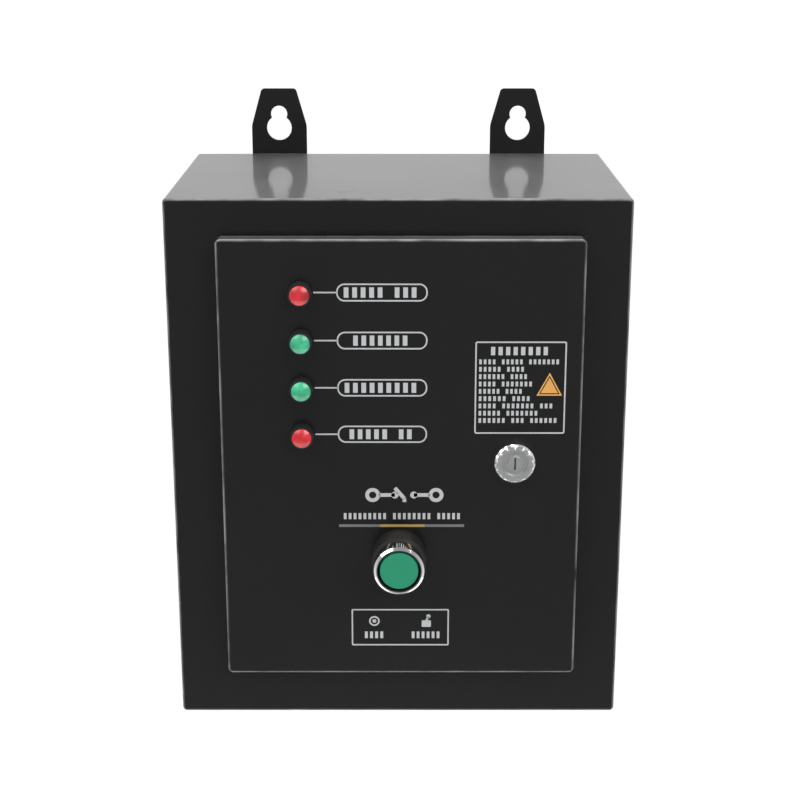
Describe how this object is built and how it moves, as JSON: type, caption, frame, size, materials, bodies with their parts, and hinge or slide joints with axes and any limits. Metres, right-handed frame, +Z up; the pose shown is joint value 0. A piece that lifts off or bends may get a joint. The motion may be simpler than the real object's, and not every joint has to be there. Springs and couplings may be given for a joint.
{
  "type": "automatic transfer switch control box",
  "caption": "Wall-hung black steel changeover box with hinged door, status lamps, latching pushbutton, cam lock and cable glands.",
  "frame": {"origin": "on the wall plane, midway between the round lobes of the four ear keyholes", "axes": "+X to the right seen from the front, +Y into the wall, +Z up"},
  "size_m": [0.25, 0.199, 0.38],
  "materials": {
    "black_powder_coat": "satin",
    "zinc_plated_steel": "satin",
    "galvanised_sheet": "matte",
    "black_foam": "matte",
    "black_rubber": "matte",
    "black_plastic": "satin",
    "grey_plastic": "satin",
    "light_plastic": "satin",
    "white_plastic": "satin",
    "blue_plastic": "gloss",
    "yellow_plastic": "gloss",
    "green_board": "gloss",
    "chrome": "polished",
    "lamp_red": "gloss",
    "lamp_green": "gloss",
    "cap_green": "gloss",
    "clear_cover": "clear",
    "brass": "satin",
    "black_insulation": "satin"
  },
  "bodies": {
    "enclosure": {"enclosure_shell": "black_powder_coat", "back_panel": "black_powder_coat", "ear_upper_left": "black_powder_coat", "ear_upper_right": "black_powder_coat", "ear_lower_left": "black_powder_coat", "ear_lower_right": "black_powder_coat", "ear_screws": "zinc_plated_steel", "plate_studs": "zinc_plated_steel", "mounting_plate": "galvanised_sheet", "plate_nuts": "zinc_plated_steel", "din_rail": "zinc_plated_steel", "rail_screws": "zinc_plated_steel", "mains_contactor_base": "black_plastic", "mains_contactor_cover": "light_plastic", "generator_contactor_base": "black_plastic", "generator_contactor_cover": "light_plastic", "contactor_screws": "zinc_plated_steel", "interlock_post": "grey_plastic", "fuse_base": "white_plastic", "control_board": "green_board", "board_standoffs": "white_plastic", "board_relays": "blue_plastic", "board_transformer": "black_plastic", "terminal_base": "black_plastic", "terminal_screws": "zinc_plated_steel", "power_wires": "black_insulation", "earth_stud": "brass", "earth_nuts": "brass", "gland_plate": "black_powder_coat", "gland_plate_screws": "zinc_plated_steel", "gland_bodies": "black_plastic", "gland_caps": "black_plastic", "gland_seals": "black_rubber", "gland_locknuts": "black_plastic", "hinge_brackets": "black_powder_coat"},
    "door": {"door_pan": "black_powder_coat", "door_gasket": "black_foam", "hinge_lugs": "black_powder_coat", "hinge_pins": "zinc_plated_steel", "lock_body": "chrome", "lock_nut": "zinc_plated_steel", "lamp_housings": "black_plastic", "lamp_lens_mains": "lamp_red", "lamp_lens_generator": "lamp_green", "lamp_lens_auto": "lamp_green", "lamp_lens_failure": "lamp_red", "lamp_nuts": "black_plastic", "button_collar": "black_plastic", "button_bezel": "chrome", "button_block": "light_plastic", "button_nut": "black_plastic"},
    "lock": {"lock_plug": "chrome", "lock_cam": "zinc_plated_steel"},
    "button": {"button_cap": "cap_green", "button_stem": "white_plastic"},
    "mains_carrier": {"mains_contactor_carrier": "blue_plastic"},
    "generator_carrier": {"generator_contactor_carrier": "yellow_plastic"},
    "rocker": {"interlock_rocker": "white_plastic"},
    "fuse": {"fuse_carrier": "light_plastic"},
    "cover": {"terminal_cover": "clear_cover"}
  },
  "joints": [
    {"name": "door_hinge", "type": "hinge", "parent": "enclosure", "child": "door", "pos_m": [-0.092, -0.169, 0.0055], "axis": [0, 0, -1], "range_deg": [0, 110]},
    {"name": "lock_turn", "type": "hinge", "parent": "door", "child": "lock", "pos_m": [0.0634, -0.16, 0.008], "axis": [0, -1, 0], "range_deg": [0, 90]},
    {"name": "button_press", "type": "slide", "parent": "door", "child": "button", "axis": [0, 1, 0], "range_m": [0, 0.005], "stiffness_N_per_m": 600},
    {"name": "mains_carrier_slide", "type": "slide", "parent": "enclosure", "child": "mains_carrier", "axis": [0, -1, 0], "range_m": [0, 0.003]},
    {"name": "generator_carrier_slide", "type": "slide", "parent": "enclosure", "child": "generator_carrier", "axis": [0, 1, 0], "range_m": [0, 0.003]},
    {"name": "interlock_rock", "type": "hinge", "parent": "enclosure", "child": "rocker", "pos_m": [-0.0275, -0.0961, 0.0725], "axis": [0, 0, 1], "range_deg": [0, 6.15]},
    {"name": "fuse_carrier_hinge", "type": "hinge", "parent": "enclosure", "child": "fuse", "pos_m": [0.035, -0.058, 0.055], "axis": [1, 0, 0], "range_deg": [0, 80]},
    {"name": "terminal_cover_hinge", "type": "hinge", "parent": "enclosure", "child": "cover", "pos_m": [0.0005, -0.053, -0.059], "axis": [-1, 0, 0], "range_deg": [0, 100]}
  ],
  "couplings": [
    {"joint": "generator_carrier_slide", "follows": "mains_carrier_slide", "ratio": 1},
    {"joint": "interlock_rock", "follows": "mains_carrier_slide", "rad_per_m": 35.731}
  ]
}
